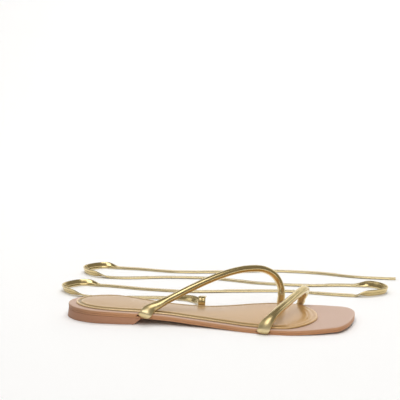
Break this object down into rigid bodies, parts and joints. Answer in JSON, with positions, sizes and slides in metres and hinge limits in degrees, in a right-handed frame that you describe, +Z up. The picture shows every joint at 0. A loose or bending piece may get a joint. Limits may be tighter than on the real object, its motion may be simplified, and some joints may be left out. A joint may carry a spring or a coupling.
{
  "type": "gladiator sandal",
  "caption": "Flat square-toed lace-up sandal for the right foot, with gold rolled straps, a low heel and a long flat tie laid on the floor.",
  "frame": {"origin": "on the floor, in the middle of the sandal's box without its loose tie", "axes": "+X from heel to toe, +Y towards the inner (medial) side of the foot, +Z up"},
  "size_m": [0.3142, 0.2348, 0.0414],
  "materials": {
    "gold_leather": "metallic champagne gold, glossy",
    "gold_insole": "satin pale gold",
    "nude_leather": "smooth pale pink, satin",
    "sole_edge": "tan sole leather, waxed edge",
    "heel_stack": "tan covered heel, satin"
  },
  "bodies": {
    "root": {"outsole": "sole_edge", "heel": "heel_stack", "footbed": "nude_leather", "insole": "gold_insole", "instep_strap": "gold_leather", "toe_strap": "gold_leather", "tie_root": "gold_leather", "leg_tie": "gold_leather"}
  },
  "joints": []
}
